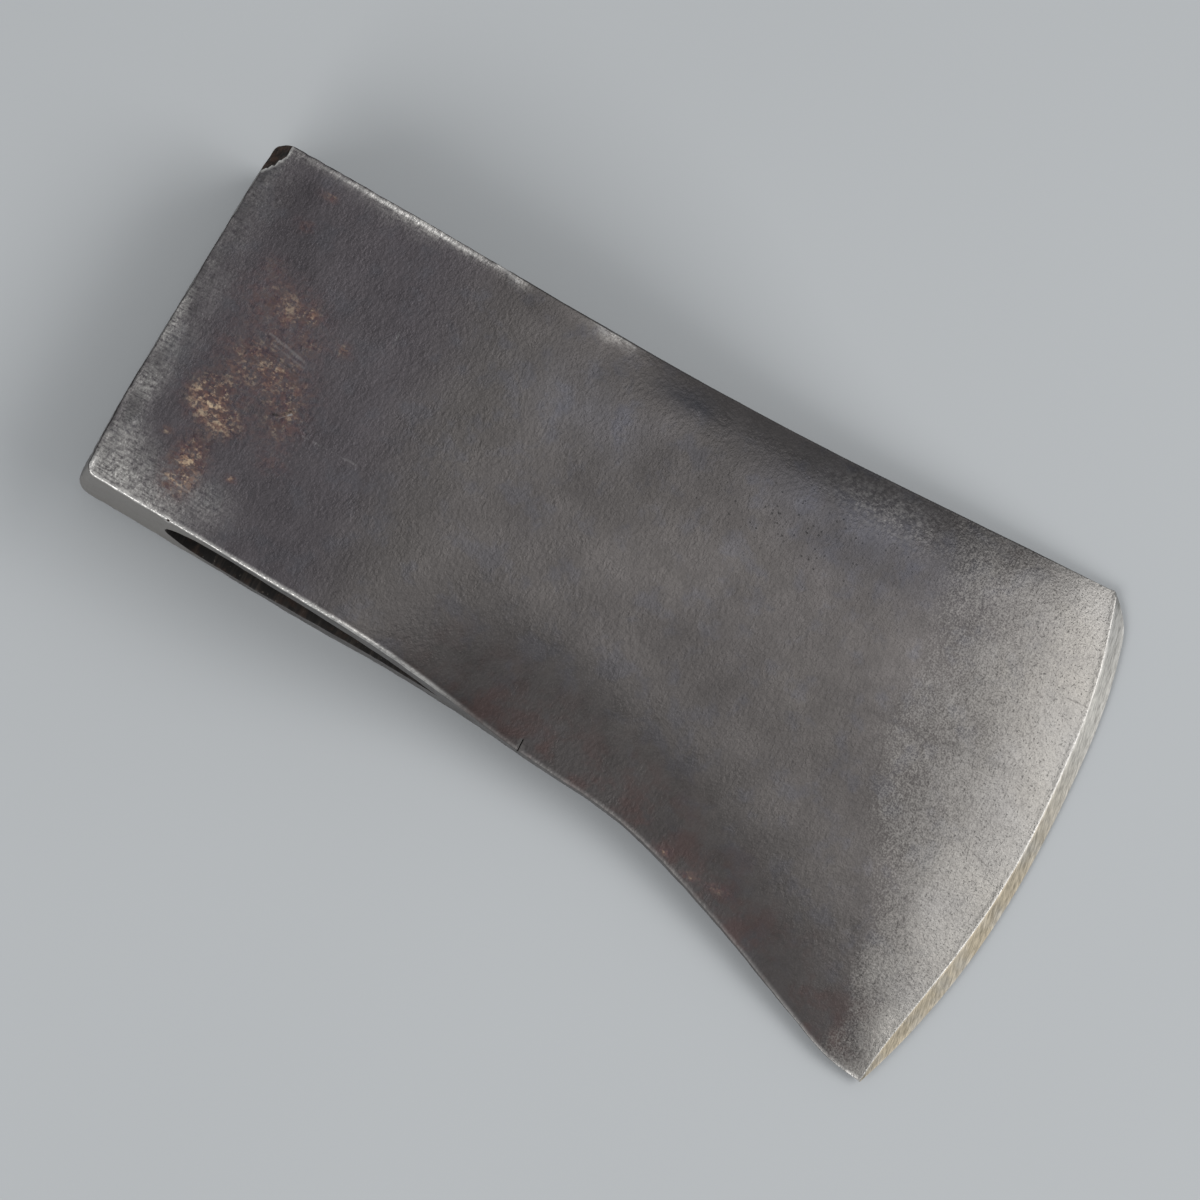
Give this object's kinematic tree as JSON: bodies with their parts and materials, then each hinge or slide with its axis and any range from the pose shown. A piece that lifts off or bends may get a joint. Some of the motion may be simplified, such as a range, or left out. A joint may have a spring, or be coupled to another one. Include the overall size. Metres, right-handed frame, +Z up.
{
  "type": "axe head",
  "caption": "Forged steel felling axe head with a square poll, tapered cheeks, a flared curved bit and an empty handle eye, lying on one cheek.",
  "frame": {"origin": "on the floor, below the middle of the head's box as it lies", "axes": "+X along the head from the poll to the bit, +Y towards the top edge of the head, where the handle's wedged end comes out, and +Z up, away from the cheek that it lies on"},
  "size_m": [0.1996, 0.1092, 0.0328],
  "materials": {
    "forged_steel": "forged steel with a dark worn patina, rust speckles near the poll and a bright ground bevel along the cutting edge"
  },
  "bodies": {
    "root": {"axe_head": "forged_steel"}
  },
  "joints": []
}
